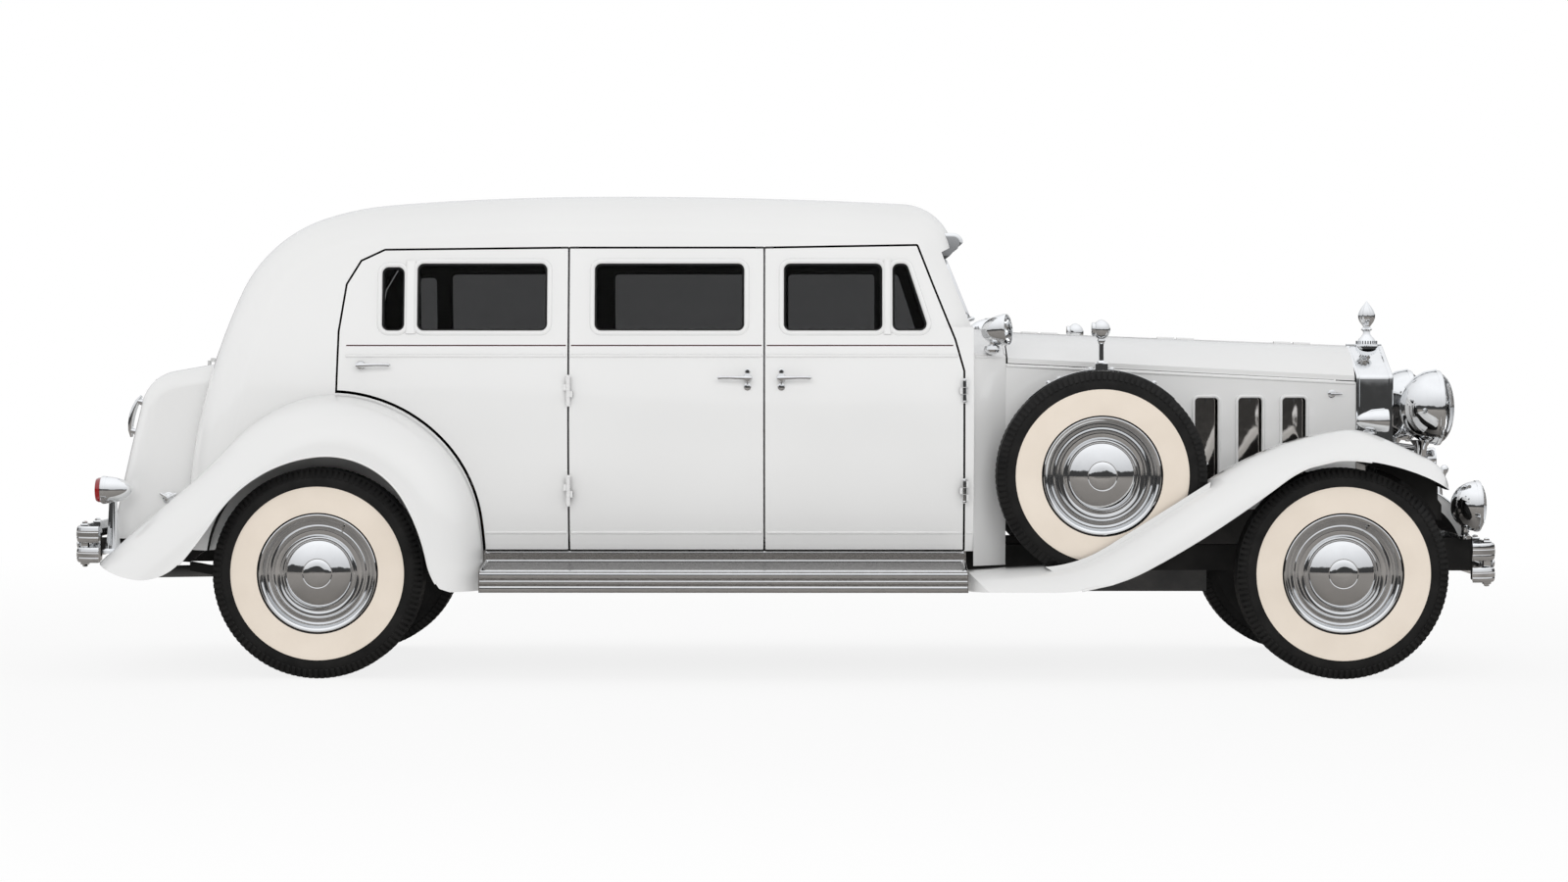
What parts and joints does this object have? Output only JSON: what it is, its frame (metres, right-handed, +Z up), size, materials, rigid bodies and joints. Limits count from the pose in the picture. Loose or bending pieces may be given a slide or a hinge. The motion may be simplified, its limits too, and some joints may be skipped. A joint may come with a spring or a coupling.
{
  "type": "vintage limousine hearse",
  "caption": "Long vintage funeral limousine with side doors, a built-in trunk, sweeping fenders, running boards, side-mounted spare wheels and a tall upright radiator.",
  "frame": {"origin": "on the ground, midway along and across the car", "axes": "+X forward, +Y to the car's left, +Z up"},
  "size_m": [5.5458, 1.76, 1.878],
  "materials": {
    "paint": "gloss white coachwork",
    "chrome": "polished",
    "glass": "dark tinted",
    "tyre": "black with a cream sidewall",
    "frame": "black chassis paint",
    "cast": "dark",
    "trim": "dark hide",
    "wood": "varnished",
    "floor": "carpet",
    "steel": "polished treads",
    "bakelite": "black"
  },
  "bodies": {
    "car": {"body_shell": "paint", "body_glass": "glass", "floor_pan": "floor", "cowl": "paint", "bonnet_sides": "paint", "radiator": "chrome", "front_fenders": "paint", "rear_fenders": "paint", "running_boards": "steel", "trunk": "paint", "chassis_frame": "frame", "engine_block": "cast", "front_axle": "frame", "rear_axle": "frame", "spare_wheels": "chrome", "spare_tyres": "tyre", "exhaust": "cast", "fuel_tank": "frame", "headlamps": "chrome", "small_lamps": "chrome", "tail_lamps": "chrome", "front_apron": "paint", "front_bumper": "chrome", "rear_bumper": "chrome", "visor": "chrome", "spare_mirrors": "chrome", "seats": "trim", "casket_deck": "wood", "dashboard": "wood"},
    "door_front_right": {"door_front_right": "paint", "glass_front_right": "glass"},
    "door_front_left": {"door_front_left": "paint", "glass_front_left": "glass"},
    "door_middle_right": {"door_middle_right": "paint", "glass_middle_right": "glass"},
    "door_middle_left": {"door_middle_left": "paint", "glass_middle_left": "glass"},
    "door_rear_right": {"door_rear_right": "paint", "glass_rear_right": "glass"},
    "door_rear_left": {"door_rear_left": "paint", "glass_rear_left": "glass"},
    "trunk_lid": {"trunk_lid": "paint"},
    "bonnet_lid_right": {"bonnet_lid_right": "paint"},
    "bonnet_lid_left": {"bonnet_lid_left": "paint"},
    "knuckle_right": {"knuckle_right": "frame"},
    "knuckle_left": {"knuckle_left": "frame"},
    "steering_wheel": {"steering_wheel": "bakelite"},
    "wheel_front_right": {"wheel_front_right": "chrome", "tyre_front_right": "tyre"},
    "wheel_front_left": {"wheel_front_left": "chrome", "tyre_front_left": "tyre"},
    "wheel_rear_right": {"wheel_rear_right": "chrome", "tyre_rear_right": "tyre"},
    "wheel_rear_left": {"wheel_rear_left": "chrome", "tyre_rear_left": "tyre"}
  },
  "joints": [
    {"name": "door_front_right_hinge", "type": "hinge", "parent": "car", "child": "door_front_right", "pos_m": [0.698, -0.727, 1], "axis": [0, 0, 1], "range_deg": [0, 65]},
    {"name": "door_front_left_hinge", "type": "hinge", "parent": "car", "child": "door_front_left", "pos_m": [0.698, 0.727, 1], "axis": [0, 0, -1], "range_deg": [0, 65]},
    {"name": "door_middle_right_hinge", "type": "hinge", "parent": "car", "child": "door_middle_right", "pos_m": [-0.842, -0.727, 1], "axis": [0, 0, -1], "range_deg": [0, 65]},
    {"name": "door_middle_left_hinge", "type": "hinge", "parent": "car", "child": "door_middle_left", "pos_m": [-0.842, 0.727, 1], "axis": [0, 0, 1], "range_deg": [0, 65]},
    {"name": "door_rear_right_hinge", "type": "hinge", "parent": "car", "child": "door_rear_right", "pos_m": [-0.842, -0.727, 1], "axis": [0, 0, 1], "range_deg": [0, 65]},
    {"name": "door_rear_left_hinge", "type": "hinge", "parent": "car", "child": "door_rear_left", "pos_m": [-0.842, 0.727, 1], "axis": [0, 0, -1], "range_deg": [0, 65]},
    {"name": "trunk_lid_hinge", "type": "hinge", "parent": "car", "child": "trunk_lid", "pos_m": [-2.286, 0, 1.234], "axis": [0, 1, 0], "range_deg": [0, 70]},
    {"name": "bonnet_lid_right_hinge", "type": "hinge", "parent": "car", "child": "bonnet_lid_right", "pos_m": [0.868, 0, 1.343], "axis": [-0.9992, 0, 0.039], "range_deg": [0, 50]},
    {"name": "bonnet_lid_left_hinge", "type": "hinge", "parent": "car", "child": "bonnet_lid_left", "pos_m": [0.868, 0, 1.343], "axis": [0.9992, 0, -0.039], "range_deg": [0, 50]},
    {"name": "steer_right", "type": "hinge", "parent": "car", "child": "knuckle_right", "pos_m": [2.157, -0.65, 0.408], "axis": [0, 0, 1], "range_deg": [-30, 30]},
    {"name": "steer_left", "type": "hinge", "parent": "car", "child": "knuckle_left", "pos_m": [2.157, 0.65, 0.408], "axis": [0, 0, 1], "range_deg": [-30, 30]},
    {"name": "steering_wheel_turn", "type": "hinge", "parent": "car", "child": "steering_wheel", "pos_m": [0.43, 0.33, 1.13], "axis": [-0.8829, 0, 0.4695], "range_deg": [-360, 360]},
    {"name": "wheel_front_right_spin", "type": "hinge", "parent": "knuckle_right", "child": "wheel_front_right", "pos_m": [2.157, -0.735, 0.408], "axis": [0, 1, 0], "continuous": true},
    {"name": "wheel_front_left_spin", "type": "hinge", "parent": "knuckle_left", "child": "wheel_front_left", "pos_m": [2.157, 0.735, 0.408], "axis": [0, 1, 0], "continuous": true},
    {"name": "wheel_rear_right_spin", "type": "hinge", "parent": "car", "child": "wheel_rear_right", "pos_m": [-1.807, -0.735, 0.408], "axis": [0, 1, 0], "continuous": true},
    {"name": "wheel_rear_left_spin", "type": "hinge", "parent": "car", "child": "wheel_rear_left", "pos_m": [-1.807, 0.735, 0.408], "axis": [0, 1, 0], "continuous": true}
  ],
  "couplings": [
    {"joint": "steer_left", "follows": "steer_right", "ratio": 1},
    {"joint": "steering_wheel_turn", "follows": "steer_right", "ratio": 10}
  ]
}
